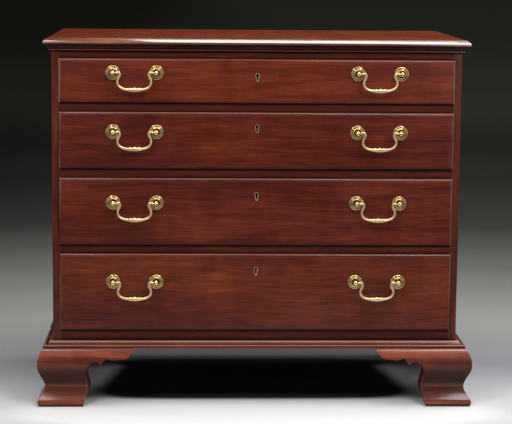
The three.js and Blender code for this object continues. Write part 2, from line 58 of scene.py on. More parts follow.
# ------------------------------------------------------------------ sizes shared with the solids, in millimetres
HALF, FRONT_Y, REAR_Y = 492.5, -237.5, 270.5
CASE_Z0, HEIGHT, TOP_T, GAP = 142.3, 893.0, 20.0, 0.3
TOP_HALF, TOP_FRONT, TOP_REAR = 511.5, -256.5, 274.5
CASE_TOP = HEIGHT - TOP_T - GAP
OPENINGS = [(740.6, 843.4), (581.6, 715.3), (395.7, 555.7), (185.7, 370.8)]
HANDLE_Z = [812.0, 670.0, 498.6, 305.0]
KEYHOLE_Z = [802.1, 678.3, 514.2, 330.6]
PROUD, FRONT_BACK, CLEAR_TOP = 7.0, 15.0, 1.2
HANDLE_X, POST_X, PIVOT_D = 294.0, 52.0, 17.0
LOCK_HALF, LOCK_HIGH, LOCK_DEEP, SELVAGE_Y = 38.0, 58.0, 9.0, 3.0


# ------------------------------------------------------------------ mesh helpers
def smooth_row(points, step, corners=()):
    """The row of points with more between them on a smooth line through them, which turns sharply only at corners."""
    pts = [Vector(p) for p in points]
    last = len(pts) - 1
    sharp = set(corners) | {0, last}

    def tangent(i, side):
        if i in sharp:
            a, b = (i - 1, i) if side < 0 else (i, i + 1)
            return (pts[b] - pts[a]).normalized()
        u, v = pts[i] - pts[i - 1], pts[i + 1] - pts[i]
        return (u / u.length_squared + v / v.length_squared).normalized()

    row = [pts[0]]
    for i in range(last):
        chord = pts[i + 1] - pts[i]
        length = chord.length
        m0, m1 = tangent(i, 1) * length, tangent(i + 1, -1) * length
        bent = (m0 - chord).length + (m1 - chord).length > 0.01 * length
        count = max(1, math.ceil(length / step)) if bent else 1
        for j in range(1, count + 1):
            s = j / count
            s2, s3 = s * s, s * s * s
            row.append(
                (2 * s3 - 3 * s2 + 1) * pts[i]
                + (s3 - 2 * s2 + s) * m0
                + (3 * s2 - 2 * s3) * pts[i + 1]
                + (s3 - s2) * m1
            )
    return row


def between(row, x):
    """The value at x in a row of (x, value) pairs, on straight lines between them."""
    if x <= row[0][0]:
        return row[0][1]
    for (a, va), (b, vb) in zip(row, row[1:]):
        if x <= b:
            return va + (vb - va) * (x - a) / (b - a)
    return row[-1][1]


def finish_mesh(name, bm, materials, angle=32.0, smooth=True):
    bmesh.ops.remove_doubles(bm, verts=bm.verts, dist=1e-7)
    bmesh.ops.recalc_face_normals(bm, faces=bm.faces)
    mesh = bpy.data.meshes.new(name)
    bm.to_mesh(mesh)
    bm.free()
    for m in materials if isinstance(materials, (list, tuple)) else [materials]:
        mesh.materials.append(m)
    if smooth:
        mesh.shade_smooth()
        mesh.set_sharp_from_angle(angle=math.radians(angle))
    piece = bpy.data.objects.new(name, mesh)
    bpy.context.scene.collection.objects.link(piece)
    return piece


def loft(bm, rings, caps=True, closed=False, slot=0, slots=None):
    """Faces through a row of rings with as many points each, in millimetres. closed joins the last ring to the first."""
    made = [[bm.verts.new(Vector(p) * MM) for p in ring] for ring in rings]
    n = len(rings[0])
    spans = list(zip(made, made[1:])) + ([(made[-1], made[0])] if closed else [])
    for k, (low, high) in enumerate(spans):
        for i in range(n):
            j = (i + 1) % n
            corners = [low[i], low[j], high[j], high[i]]
            if len(set(corners)) == 4:
                face = bm.faces.new(corners)
                face.material_index = slots[k] if slots else slot
    if caps and not closed:
        for ring, end in ((made[0], 0), (made[-1], -1)):
            face = bm.faces.new(ring)
            face.material_index = slots[end] if slots else slot
    return made


def turned(bm, profile, turns=48, place=Matrix.Identity(4), slot=0):
    """A closed turned form about the Y axis. profile is (distance out along -Y, radius) from one end to the other."""
    rows = []
    for d, r in profile:
        if r < 1e-6:
            rows.append([bm.verts.new((place @ Vector((0, -d, 0))) * MM)])
        else:
            rows.append(
                [
                    bm.verts.new(
                        (place @ Vector((r * math.cos(a), -d, r * math.sin(a)))) * MM
                    )
                    for a in (2 * math.pi * k / turns for k in range(turns))
                ]
            )
    for low, high in zip(rows, rows[1:]):
        for k in range(turns):
            j = (k + 1) % turns
            if len(low) == 1 and len(high) == 1:
                continue
            if len(low) == 1:
                corners = [low[0], high[j], high[k]]
            elif len(high) == 1:
                corners = [low[k], low[j], high[0]]
            else:
                corners = [low[k], low[j], high[j], high[k]]
            bm.faces.new(corners).material_index = slot


def rounded_block(bm, x0, x1, y0, y1, z0, z1, r=0.6, slot=0):
    """A block with its edges taken off, in millimetres."""
    made = bmesh.ops.create_cube(bm, size=1.0)["verts"]
    for v in made:
        v.co = (
            Vector(
                (
                    x0 + (v.co.x + 0.5) * (x1 - x0),
                    y0 + (v.co.y + 0.5) * (y1 - y0),
                    z0 + (v.co.z + 0.5) * (z1 - z0),
                )
            )
            * MM
        )
    edges = list({e for v in made for e in v.link_edges})
    made_faces = bmesh.ops.bevel(
        bm, geom=edges, offset=r * MM, segments=2, profile=0.5, affect="EDGES"
    )
    for f in made_faces["faces"]:
        f.material_index = slot


def applied(piece):
    """The piece with its modifiers made real."""
    bpy.context.view_layer.update()
    graph = bpy.context.evaluated_depsgraph_get()
    mesh = bpy.data.meshes.new_from_object(piece.evaluated_get(graph))
    old = piece.data
    piece.modifiers.clear()
    piece.data = mesh
    bpy.data.meshes.remove(old)
    return piece


def subtract(piece, tool, keep=False):
    """Cuts the tool out of the piece. The new faces take the tool's material."""
    cut = piece.modifiers.new("cut", "BOOLEAN")
    cut.operation, cut.solver, cut.object = "DIFFERENCE", "EXACT", tool
    cut.material_mode = "TRANSFER"
    applied(piece)
    if not keep:
        data = tool.data
        bpy.data.objects.remove(tool)
        bpy.data.meshes.remove(data)
    return piece


def copy_of_node(name, node, materials, angle=32.0, bevel=0.0, pick=None):
    """A new piece on the node's own shape, with shared points, smooth curved faces and, if asked, worn arrises."""
    bm = bmesh.new()
    bm.from_mesh(nodes[node].data)
    bmesh.ops.remove_doubles(bm, verts=bm.verts, dist=1e-5)
    bmesh.ops.dissolve_limit(
        bm, angle_limit=math.radians(0.6), verts=bm.verts, edges=bm.edges
    )
    if bevel:
        sharp = [
            e
            for e in bm.edges
            if len(e.link_faces) == 2
            and e.calc_face_angle(0) > math.radians(50)
            and e.calc_length() > 4 * bevel * MM
        ]
        bmesh.ops.bevel(
            bm,
            geom=sharp,
            offset=bevel * MM,
            segments=2,
            profile=0.6,
            affect="EDGES",
            clamp_overlap=True,
        )
    bmesh.ops.triangulate(bm, faces=[f for f in bm.faces if len(f.verts) > 4])
    for layer in list(bm.loops.layers.uv):
        bm.loops.layers.uv.remove(layer)
    for f in bm.faces:
        f.material_index = pick(f) if pick else 0
        f.smooth = True
    mesh = bpy.data.meshes.new(name)
    bm.to_mesh(mesh)
    bm.free()
    for layer in [a for a in mesh.attributes if a.name == "custom_normal"]:
        mesh.attributes.remove(layer)
    for m in materials if isinstance(materials, (list, tuple)) else [materials]:
        mesh.materials.append(m)
    mesh.shade_smooth()
    mesh.set_sharp_from_angle(angle=math.radians(angle))
    piece = bpy.data.objects.new(name, mesh)
    bpy.context.scene.collection.objects.link(piece)
    return piece


def shared(name, source):
    piece = bpy.data.objects.new(name, source.data)
    bpy.context.scene.collection.objects.link(piece)
    return piece


def place(piece, x=0.0, y=0.0, z=0.0, mirror=False):
    """Moves the piece's mesh by millimetres, so that its object stays at the origin."""
    piece.data = piece.data.copy()
    m = Matrix.Translation(Vector((x, y, z)) * MM)
    if mirror:
        m = m @ Matrix.Scale(-1, 4, Vector((1, 0, 0)))
    piece.data.transform(m)
    if mirror:
        piece.data.flip_normals()
    return piece


# ------------------------------------------------------------------ materials
class Nodes:
    """A small way to write node trees: a call makes a node, and inputs are values or sockets."""

    def __init__(self, name):
        self.material = bpy.data.materials.new(name)
        self.material.use_nodes = True
        self.tree = self.material.node_tree
        self.tree.nodes.clear()

    def __call__(self, kind, inputs=None, out=0, **settings):
        n = self.tree.nodes.new(kind)
        for key, value in settings.items():
            setattr(n, key, value)
        for key, value in (inputs or {}).items():
            socket = n.inputs[key]
            if isinstance(value, bpy.types.NodeSocket):
                self.tree.links.new(value, socket)
            else:
                socket.default_value = value
        return n.outputs[out] if len(n.outputs) else n

    def math(self, op, a, b=0.0, c=0.0, clamp=False):
        return self(
            "ShaderNodeMath", {0: a, 1: b, 2: c}, operation=op, use_clamp=clamp
        )

    def mix(self, fac, a, b, blend="MIX"):
        n = self.tree.nodes.new("ShaderNodeMix")
        n.data_type, n.blend_type = "RGBA", blend
        for socket, value in ((n.inputs[0], fac), (n.inputs[6], a), (n.inputs[7], b)):
            if isinstance(value, bpy.types.NodeSocket):
                self.tree.links.new(value, socket)
            else:
                socket.default_value = value
        return n.outputs[2]

    def span(self, value, low, high, to_low=0.0, to_high=1.0, smooth=True):
        return self(
            "ShaderNodeMapRange",
            {
                "Value": value,
                "From Min": low,
                "From Max": high,
                "To Min": to_low,
                "To Max": to_high,
            },
            clamp=True,
            interpolation_type="SMOOTHSTEP" if smooth else "LINEAR",
        )

    def noise(self, vector, scale, detail=3.0, rough=0.55, warp=0.0):
        return self(
            "ShaderNodeTexNoise",
            {
                "Vector": vector,
                "Scale": scale,
                "Detail": detail,
                "Roughness": rough,
                "Distortion": warp,
            },
        )

    def ramp(self, fac, stops):
        n = self.tree.nodes.new("ShaderNodeValToRGB")
        self.tree.links.new(fac, n.inputs[0])
        ramp = n.color_ramp
        ramp.interpolation = "EASE"
        while len(ramp.elements) < len(stops):
            ramp.elements.new(0.5)
        for element, (position, colour) in zip(ramp.elements, stops):
            element.position, element.color = position, (*colour, 1)
        return n.outputs[0]

    def finish(self, shader):
        self(
            "ShaderNodeOutputMaterial",
            {"Surface": shader},
        )
        return self.material


def grain_vector(n, axis, seed):
    """Coordinates with X along the grain, moved to another place in the timber for each seed, with a slow wander."""
    where = n("ShaderNodeTexCoord", out=3)
    split = n.tree.nodes.new("ShaderNodeSeparateXYZ")
    n.tree.links.new(where, split.inputs[0])
    x, y, z = split.outputs
    a, b, c = {"X": (x, z, y), "Y": (y, z, x), "Z": (z, x, y)}[axis]
    wander = n.noise(where, 2.3, 2.0, 0.5)
    b = n.math("ADD", b, n.math("MULTIPLY", n.math("SUBTRACT", wander, 0.5), 0.035))
    moved = n(
        "ShaderNodeCombineXYZ",
        {
            0: n.math("ADD", a, seed * 3.17),
            1: n.math("ADD", b, seed * 1.73),
            2: n.math("ADD", c, seed * 0.61),
        },
    )
    return moved, where


def stretched(n, vector, along, across):
    return n(
        "ShaderNodeVectorMath",
        {0: vector, 1: (along, across, across)},
        operation="MULTIPLY",
    )


def edges_of(n, radius):
    """0 on flat faces, rising to 1 where a rounded edge would be."""
    worn = n("ShaderNodeBevel", {"Radius": radius}, samples=6)
    true = n("ShaderNodeNewGeometry", out=3)
    dot = n("ShaderNodeVectorMath", {0: worn, 1: true}, operation="DOT_PRODUCT", out=1)
    return n.span(dot, 0.995, 0.80)


def crevices_of(n, distance):
    """1 in the open, falling towards 0 in corners and hollows."""
    return n("ShaderNodeAmbientOcclusion", {"Distance": distance}, samples=6, out=1)


def mahogany(
    name,
    axis,
    seed,
    light=1.0,
    red=1.0,
    green=1.0,
    blue=0.9,
    figure=1.0,
    fine=1.0,
    mottle=1.0,
    under=0.0,
    underside_shade_from=0.0,
    over=0.0,
    painted_hollow_shade=None,
    low=False,
    rub=0.5,
    painted_side_light=0.0,
    spec=0.28,
    rough_at=(0.30, 0.42),
    coat=0.45,
    coat_rough=0.14,
    coat_ior=1.5,
):
    """Polished mahogany. under paints shade on what faces down, and over paints a highlight on what faces up
    on mouldings and lips. The feet and the base moulding have their own painted shade with height, and the
    feet painted light on their tops and soles."""
    n = Nodes(name)
    grain, where = grain_vector(n, axis, seed)
    broad = n.noise(stretched(n, grain, 1.7, 9.0), 1.0, 3.0, 0.6, 0.5)
    bands = n.noise(stretched(n, grain, 5.0, 62.0), 1.0, 4.0, 0.62, 0.35)
    streaks = n.noise(stretched(n, grain, 13.0, 230.0), 1.0, 3.0, 0.62)
    lines = n.noise(stretched(n, grain, 22.0, 760.0), 1.0, 2.0, 0.6)
    ripple = n.noise(stretched(n, grain, 19.0, 5.0), 1.0, 2.0, 0.5, 0.8)
    tone = n.math("MULTIPLY", n.math("SUBTRACT", broad, 0.5), 0.95 * mottle)
    tone = n.math("ADD", tone, n.math("MULTIPLY", n.math("SUBTRACT", bands, 0.5), 1.05 * figure))
    tone = n.math("ADD", tone, n.math("MULTIPLY", n.math("SUBTRACT", streaks, 0.5), 0.66 * figure * fine))
    tone = n.math("ADD", tone, n.math("MULTIPLY", n.math("SUBTRACT", lines, 0.5), 0.42 * figure * fine))
    tone = n.math("ADD", tone, n.math("MULTIPLY", n.math("SUBTRACT", ripple, 0.5), 0.35 * mottle))
    tone = n.math("ADD", tone, 0.5)
    colour = n.ramp(
        tone,
        [
            (at, (r * light * red, g * light * green, b * light * blue))
            for at, r, g, b in (
                (0.05, 0.052, 0.0075, 0.0058),
                (0.36, 0.112, 0.0165, 0.0088),
                (0.62, 0.182, 0.0305, 0.0130),
                (0.95, 0.300, 0.0700, 0.0250),
            )
        ],
    )
    if painted_side_light:
        # painted light and shade: the board is lighter towards its right end and darker towards its left
        split = n.tree.nodes.new("ShaderNodeSeparateXYZ")
        n.tree.links.new(where, split.inputs[0])
        side = n.span(split.outputs[0], -0.5, 0.5, 1.0 - 0.4 * painted_side_light, 1.0 + painted_side_light)
        colour = n("ShaderNodeVectorMath", {0: colour, "Scale": side}, operation="SCALE")
    # open pores, darker, as short dashes along the grain
    pores = n.noise(stretched(n, grain, 95.0, 2600.0), 1.0, 1.0, 0.5)
    pores = n.span(pores, 0.62, 0.72)
    colour = n.mix(n.math("MULTIPLY", pores, 0.5), colour, (0.030, 0.007, 0.005, 1))
    # patches where the polish has darkened
    patina = n.noise(where, 5.5, 4.0, 0.6)
    colour = n.mix(
        n.span(patina, 0.45, 0.75, 0.0, 0.30 * mottle), colour, (0.060, 0.011, 0.009, 1)
    )
    # painted shade: darker in corners and hollows, where shade falls; the same mask also dulls the polish there as
    # grime
    shade_and_grime = n.span(crevices_of(n, 0.016), 0.90, 0.52)
    level = n.tree.nodes.new("ShaderNodeSeparateXYZ")
    n.tree.links.new(where, level.inputs[0])
    level = level.outputs[2]
    if low:
        # on the feet: less painted corner shade right by the floor, and painted light and shade in bands by height
        shade_and_grime = n.math("MULTIPLY", shade_and_grime, n.span(level, 0.004, 0.022, 0.15, 1.0))
        tone = n.ramp(
            n.math("DIVIDE", level, CASE_Z0 * MM), [(at, (v, v * 0.98, v * 1.3)) for at, v in FOOT_PAINTED_SHADING]
        )
        colour = n.mix(1.0, colour, tone, "MULTIPLY")
    colour = n.mix(n.math("MULTIPLY", shade_and_grime, 0.9), colour, (0.007, 0.0018, 0.0015, 1))
    if under:
        # painted shade on what faces down, which also dulls the polish there
        facing = n.tree.nodes.new("ShaderNodeSeparateXYZ")
        n.tree.links.new(n("ShaderNodeNewGeometry", out=1), facing.inputs[0])
        below = n.span(facing.outputs[2], underside_shade_from, underside_shade_from - 0.50, 0.0, under)
        colour = n.mix(below, colour, (0.009, 0.0024, 0.0020, 1))
        shade_and_grime = n.math("MAXIMUM", shade_and_grime, below)
        if over:
            # painted highlight on what faces up
            above = n.span(facing.outputs[2], 0.22, 0.62, 0.0, over)
            if painted_hollow_shade:
                # painted shade: the hollow between the two rounded members of the base moulding is painted dark and
                # gets no painted highlight
                low_end, high_end = (CASE_Z0 + v for v in painted_hollow_shade)
                gap = n.math(
                    "MULTIPLY",
                    n.span(level, (low_end - 0.3) * MM, (low_end + 0.3) * MM),
                    n.span(level, (high_end + 0.3) * MM, (high_end - 0.3) * MM),
                )
                above = n.math("MULTIPLY", above, n.math("SUBTRACT", 1.0, gap))
                colour = n.mix(n.math("MULTIPLY", gap, 0.72), colour, (0.010, 0.0026, 0.0020, 1))
            above = n.math("MULTIPLY", above, n.math("SUBTRACT", 1.0, shade_and_grime))
            colour = n.mix(above, colour, (0.42, 0.18, 0.115, 1))
            if not painted_hollow_shade:
                # painted highlight in patches on the sides of the lips, where they face left or right; rub sets its
                # strength
                painted_side_highlight = n.span(n.noise(where, 7.0, 2.0, 0.5), 0.36, 0.56, 0.0, rub)
                outward = n.math("ABSOLUTE", facing.outputs[0])
                painted_side_highlight = n.math("MULTIPLY", painted_side_highlight, n.span(outward, 0.25, 0.55))
                colour = n.mix(painted_side_highlight, colour, (0.42, 0.18, 0.115, 1))
    breaks = n.noise(where, 60.0, 3.0, 0.6)
    worn = n.math("MULTIPLY", edges_of(n, 0.0011), n.span(breaks, 0.35, 0.62))
    colour = n.mix(n.math("MULTIPLY", worn, 0.5), colour, (0.36, 0.13, 0.075, 1))
    smear = n.noise(where, 9.0, 3.0, 0.6)
    rough = n.span(smear, 0.3, 0.7, *rough_at)
    rough = n.math("ADD", rough, n.math("MULTIPLY", worn, 0.10))
    rough = n.math("ADD", rough, n.math("MULTIPLY", shade_and_grime, 0.45))
    polish = n.math("MULTIPLY", n.math("SUBTRACT", 1.0, shade_and_grime), coat)
    height = n.math("ADD", n.math("MULTIPLY", pores, -0.6), n.math("MULTIPLY", streaks, 0.5))
    bump = n(
        "ShaderNodeBump",
        {"Strength": 0.18, "Distance": 0.0003, "Height": height},
    )
    dents = n(
        "ShaderNodeBump",
        {
            "Strength": 0.10,
            "Distance": 0.0016,
            "Height": n.noise(where, 14.0, 3.0, 0.5),
            "Normal": bump,
        },
    )
    return n.finish(
        n(
            "ShaderNodeBsdfPrincipled",
            {
                "Base Color": colour,
                "Roughness": rough,
                "Specular IOR Level": spec,
                "Coat Weight": polish,
                "Coat Roughness": coat_rough,
                "Coat IOR": coat_ior,
                "Normal": dents,
            },
        )
    )


def plain_wood(name, axis, seed, light=1.0, boundary=None, shade_in=0.020):
    """Pale unpolished timber. With boundary, the part in front of that Y is polished mahogany."""
    n = Nodes(name)
    grain, where = grain_vector(n, axis, seed)
    bands = n.noise(stretched(n, grain, 1.3, 38.0), 1.0, 4.0, 0.6, 0.5)
    streaks = n.noise(stretched(n, grain, 7.0, 260.0), 1.0, 3.0, 0.6)
    fibres = n.noise(stretched(n, grain, 50.0, 1700.0), 1.0, 2.0, 0.6)
    tone = n.math("MULTIPLY", bands, 0.5)
    tone = n.math("ADD", tone, n.math("MULTIPLY", streaks, 0.32))
    tone = n.math("ADD", tone, n.math("MULTIPLY", fibres, 0.18))
    tone = n.math("ADD", n.math("MULTIPLY", n.math("SUBTRACT", tone, 0.5), 2.2), 0.5)
    colour = n.ramp(
        tone,
        [
            (0.05, (0.135 * light, 0.066 * light, 0.028 * light)),
            (0.45, (0.275 * light, 0.148 * light, 0.064 * light)),
            (0.95, (0.420 * light, 0.250 * light, 0.118 * light)),
        ],
    )
    stains = n.noise(where, 4.0, 5.0, 0.62)
    colour = n.mix(
        n.span(stains, 0.48, 0.75, 0.0, 0.5), colour, (0.105, 0.062, 0.034, 1)
    )
    # painted shade: darker in corners and hollows
    shade_and_grime = crevices_of(n, 0.03)
    colour = n.mix(n.span(shade_and_grime, 0.8, 0.2, 0.0, 0.75), colour, (0.035, 0.021, 0.013, 1))
    rough = n.span(n.noise(where, 20.0, 3.0, 0.6), 0.3, 0.7, 0.62, 0.85)
    saw = n.noise(stretched(n, grain, 120.0, 16.0), 1.0, 2.0, 0.5)
    height = n.math("ADD", n.math("MULTIPLY", streaks, 0.7), n.math("MULTIPLY", saw, 0.3))
    if boundary is not None:
        split = n.tree.nodes.new("ShaderNodeSeparateXYZ")
        n.tree.links.new(where, split.inputs[0])
        face = n.math("LESS_THAN", split.outputs[1], boundary)
        red_grain, _ = grain_vector(n, "X", seed + 0.4)
        red_bands = n.noise(stretched(n, red_grain, 3.0, 90.0), 1.0, 4.0, 0.6, 0.3)
        red_lines = n.noise(stretched(n, red_grain, 9.0, 330.0), 1.0, 3.0, 0.6)
        red_tone = n.math(
            "ADD",
            n.math("MULTIPLY", n.math("SUBTRACT", n.math("ADD", red_bands, red_lines), 1.0), 1.0),
            0.5,
        )
        red = n.ramp(
            red_tone,
            [
                (0.05, (0.045, 0.0100, 0.0075)),
                (0.45, (0.098, 0.0200, 0.0120)),
                (0.95, (0.190, 0.0460, 0.0210)),
            ],
        )
        # painted shadow on the rail's face next to the drawer lips, and a darker painted line right beside them
        shade = n.span(crevices_of(n, shade_in), 0.90, 0.68, 0.0, 0.95)
        red = n.mix(shade, red, (0.006, 0.0016, 0.0013, 1))
        painted_lip_shadow = n.span(crevices_of(n, 0.009), 0.96, 0.72, 0.0, 0.85)
        red = n.mix(painted_lip_shadow, red, (0.004, 0.0010, 0.0008, 1))
        colour = n.mix(face, colour, red)
        rough = n.math(
            "ADD",
            n.math("MULTIPLY", face, 0.32),
            n.math("MULTIPLY", n.math("SUBTRACT", 1.0, face), rough),
        )
    bump = n("ShaderNodeBump", {"Strength": 0.35, "Distance": 0.0004, "Height": height})
    return n.finish(
        n(
            "ShaderNodeBsdfPrincipled",
            {
                "Base Color": colour,
                "Roughness": rough,
                "Specular IOR Level": 0.35 if boundary is None else 0.15,
                "Normal": bump,
            },
        )
    )


def metal(name, bright, dull, dark, rough_low, rough_high, deep=0.004):
    """Cast or rolled metal: bright where hands and cloths rub it, dull and dark in its hollows."""
    n = Nodes(name)
    where = n("ShaderNodeTexCoord", out=3)
    cloud = n.noise(where, 130.0, 4.0, 0.6)
    colour = n.mix(n.span(cloud, 0.35, 0.7), (*bright, 1), (*dull, 1))
    hollow = crevices_of(n, deep)
    colour = n.mix(n.span(hollow, 0.88, 0.45, 0.0, 0.92), colour, (*dark, 1))
    fine = n.noise(where, 900.0, 3.0, 0.6)
    rough = n.span(cloud, 0.3, 0.75, rough_low, rough_high)
    rough = n.math("ADD", rough, n.math("MULTIPLY", n.span(hollow, 0.8, 0.3), 0.22))
    pits = n.span(n.noise(where, 420.0, 2.0, 0.5), 0.66, 0.74)
    height = n.math("ADD", n.math("MULTIPLY", fine, 0.35), n.math("MULTIPLY", pits, -0.8))
    bump = n("ShaderNodeBump", {"Strength": 0.2, "Distance": 0.00025, "Height": height})
    return n.finish(
        n(
            "ShaderNodeBsdfPrincipled",
            {
                "Base Color": colour,
                "Metallic": 1.0,
                "Roughness": rough,
                "Normal": bump,
            },
        )
    )


def floor_paper():
    n = Nodes("studio_floor")
    where = n("ShaderNodeTexCoord", out=3)
    split = n.tree.nodes.new("ShaderNodeSeparateXYZ")
    n.tree.links.new(where, split.inputs[0])
    x, y = split.outputs[0], n.math("SUBTRACT", split.outputs[1], FLOOR_CENTRE)
    y = n.math(
        "ADD", n.math("MAXIMUM", y, 0.0), n.math("MULTIPLY", n.math("MINIMUM", y, 0.0), FLOOR_FRONT)
    )
    flat = n("ShaderNodeCombineXYZ", {0: n.math("MULTIPLY", x, FLOOR_SIDE), 1: y, 2: 0.0})
    r = n("ShaderNodeVectorMath", {0: flat}, operation="LENGTH", out=1)
    shade = n.ramp(
        n.math("DIVIDE", r, 12.0),
        [(at / 12.0, (v, v, v * warm)) for at, v, warm in FLOOR_LIGHT_POOL],
    )
    # painted light: a little lighter far away on the right and darker on the left, and painted shade a little darker
    # near by on the right
    tilt = n.math(
        "MULTIPLY",
        n.span(split.outputs[1], 1.2, 4.0),
        n.span(x, -1.3, 1.3, -0.30, 0.56, smooth=False),
    )
    near = n.math("MULTIPLY", n.span(split.outputs[1], 0.6, -0.1), n.span(x, 0.1, 0.9, 0.0, -0.15))
    tilt = n.math("ADD", tilt, near)
    shade = n(
        "ShaderNodeVectorMath", {0: shade, "Scale": n.math("ADD", 1.0, tilt)}, operation="SCALE"
    )
    # painted shadow on the floor under the case, near black under its middle, with painted light on the floor
    # between the feet from both sides

    def patch(half_x, middle_y, half_y, power):
        across = n.math("POWER", n.math("ABSOLUTE", n.math("DIVIDE", x, half_x)), power)
        deep = n.math("MULTIPLY", n.math("SUBTRACT", split.outputs[1], middle_y), 1 / half_y)
        deep = n.math("POWER", n.math("ABSOLUTE", deep), power)
        return n.math("POWER", n.math("ADD", across, deep), 1 / power)

    shade = n.mix(n.span(patch(0.48, 0.14, 0.34, 4.0), 1.08, 0.80, 0.0, 0.56), shade, (0.03, 0.03, 0.028, 1))
    shade = n.mix(n.span(patch(0.47, 0.03, 0.15, 4.0), 1.05, 0.80), shade, (0.95, 0.95, 0.97, 1))
    wide = n.math("SUBTRACT", 0.402, n.math("MULTIPLY", split.outputs[1], 0.22))
    wide = n.math("ADD", wide, n.span(split.outputs[1], 0.13, 0.20, 0.0, 0.06))
    dark = n.span(patch(wide, 0.014, 0.227, 6.0), 1.0, 0.86, 0.0, 0.985)
    shade = n.mix(dark, shade, (0.015, 0.015, 0.015, 1))
    return n.finish(
        n(
            "ShaderNodeBsdfPrincipled",
            {"Base Color": shade, "Roughness": 0.8, "Specular IOR Level": 0.1},
        )
    )


# the floor's colour paints a pool of light about the chest, darkest a few metres off and lighter again far away;
# these place and stretch it
FLOOR_CENTRE, FLOOR_FRONT, FLOOR_SIDE = -0.35, 2.2, 0.45
FLOOR_LIGHT_POOL = [
    (0.0, 0.95, 1.0),
    (0.24, 0.91, 1.0),
    (0.293, 0.69, 1.02),
    (0.36, 0.61, 1.04),
    (0.42, 0.54, 1.05),
    (0.50, 0.42, 1.06),
    (0.60, 0.325, 1.06),
    (0.85, 0.300, 1.0),
    (1.10, 0.315, 0.96),
    (1.36, 0.275, 0.95),
    (1.68, 0.228, 0.95),
    (2.03, 0.175, 0.94),
    (2.44, 0.124, 0.93),
    (2.92, 0.074, 0.91),
    (4.13, 0.078, 0.89),
    (5.3, 0.12, 0.88),
    (10.0, 0.70, 0.86),
    (12.0, 0.92, 0.86),
]

wood_top = mahogany(
    "mahogany_top", "X", 1.0, 0.78, green=1.15, blue=0.65, figure=0.6, mottle=0.5, painted_side_light=0.16, spec=0.05, coat=0.15, rough_at=(0.24, 0.34)
)
wood_edge = mahogany(
    "mahogany_top_edge", "X", 1.0, 1.02, green=1.65, blue=1.0, mottle=0.5, under=0.95, coat=1.0, coat_rough=0.11, coat_ior=2.3
)
wood_edge_y = mahogany(
    "mahogany_top_edge_side", "Y", 1.4, 0.9, mottle=0.5, under=0.95, coat=1.0, coat_rough=0.12, coat_ior=1.8
)
wood_x = mahogany(
    "mahogany_mouldings", "X", 2.0, 0.80, blue=0.75, figure=0.8, under=0.95, over=0.8, painted_hollow_shade=(8.0, 10.6), coat=0.5, coat_ior=1.6, spec=0.15
)
wood_y = mahogany(
    "mahogany_mouldings_side", "Y", 3.0, 0.76, figure=0.8, under=0.95, over=0.45, painted_hollow_shade=(8.0, 10.6)
)
wood_side = mahogany("mahogany_case_side", "Z", 4.0, 0.64)
# painted light and shade on the feet by height, from the floor, 0, to the base moulding, 1
FOOT_PAINTED_SHADING = [
    (0.0, 1.25),
    (0.05, 1.15),
    (0.085, 0.95),
    (0.12, 0.74),
    (0.16, 0.66),
    (0.20, 0.54),
    (0.235, 0.44),
    (0.27, 0.37),
    (0.31, 0.41),
    (0.38, 0.30),
    (0.50, 0.48),
    (0.66, 0.43),
    (0.76, 0.58),
    (0.84, 0.68),
    (0.91, 1.2),
    (1.0, 1.3),
]
wood_foot = mahogany(
    "mahogany_feet", "X", 5.0, 1.60, green=1.42, blue=1.1, figure=0.75, mottle=0.7, under=0.75, low=True, spec=0.14, coat=0.5
)
wood_foot_y = mahogany(
    "mahogany_feet_side", "Y", 6.0, 1.05, figure=0.75, mottle=0.7, under=0.75, low=True, spec=0.14
)
wood_fronts = [
    mahogany("mahogany_front_1", "X", 7.1, 1.14, green=0.95, blue=0.72, figure=0.70, fine=1.25, mottle=0.9, under=0.95, over=0.30, rub=0.95, coat=0.38),
    mahogany("mahogany_front_2", "X", 8.2, 0.74, green=0.85, blue=0.8, figure=0.80, fine=1.7, mottle=0.9, under=0.95, over=0.34, coat=0.38),
    mahogany("mahogany_front_3", "X", 9.3, 0.84, green=0.92, blue=0.82, figure=0.72, fine=1.7, mottle=0.9, under=0.95, over=0.34, coat=0.38),
    mahogany("mahogany_front_4", "X", 10.7, 0.91, green=1.04, blue=0.8, figure=0.76, fine=1.6, mottle=0.9, under=0.95, over=0.34, coat=0.38),
]
pine_x = plain_wood("secondary_wood_across", "X", 11.0)
pine_y = plain_wood("secondary_wood_front_to_back", "Y", 12.0, light=0.95)
pine_bottom = plain_wood("secondary_wood_bottoms", "X", 13.0, light=1.0)
pine_back = plain_wood("secondary_wood_back", "X", 14.0, light=1.5)
pine_under = plain_wood("secondary_wood_under", "X", 17.0, light=0.30)
rail_wood = plain_wood("rail_and_dust_board", "X", 15.0, light=0.85, boundary=-0.1774)
bottom_rail_wood = plain_wood("bottom_rail_wood", "X", 15.6, light=0.85, boundary=-0.1774, shade_in=0.034)
brass = metal(
    "brass",
    (0.98, 0.75, 0.41),
    (0.85, 0.60, 0.22),
    (0.085, 0.060, 0.008),
    0.17,
    0.32,
    deep=0.007,
)
# a lighter copy of the brass for the bails: painted light for the brighter light they catch
brass_bail_painted_light = metal(
    "brass_bail_painted_light",
    (1.0, 0.80, 0.44),
    (1.0, 0.75, 0.36),
    (0.085, 0.060, 0.008),
    0.32,
    0.44,
    deep=0.003,
)
# a paler, rougher copy of the brass for the keyhole liners: a painted highlight round each keyhole
brass_rim_painted_highlight = metal(
    "brass_rim_painted_highlight",
    (1.0, 0.84, 0.64),
    (0.96, 0.77, 0.55),
    (0.14, 0.10, 0.06),
    0.62,
    0.78,
    deep=0.0004,
)
brass_plain = metal(
    "brass_plain",
    (0.62, 0.47, 0.22),
    (0.45, 0.33, 0.14),
    (0.10, 0.07, 0.025),
    0.32,
    0.5,
)
iron = metal(
    "iron", (0.20, 0.19, 0.18), (0.12, 0.11, 0.10), (0.04, 0.03, 0.025), 0.35, 0.55
)
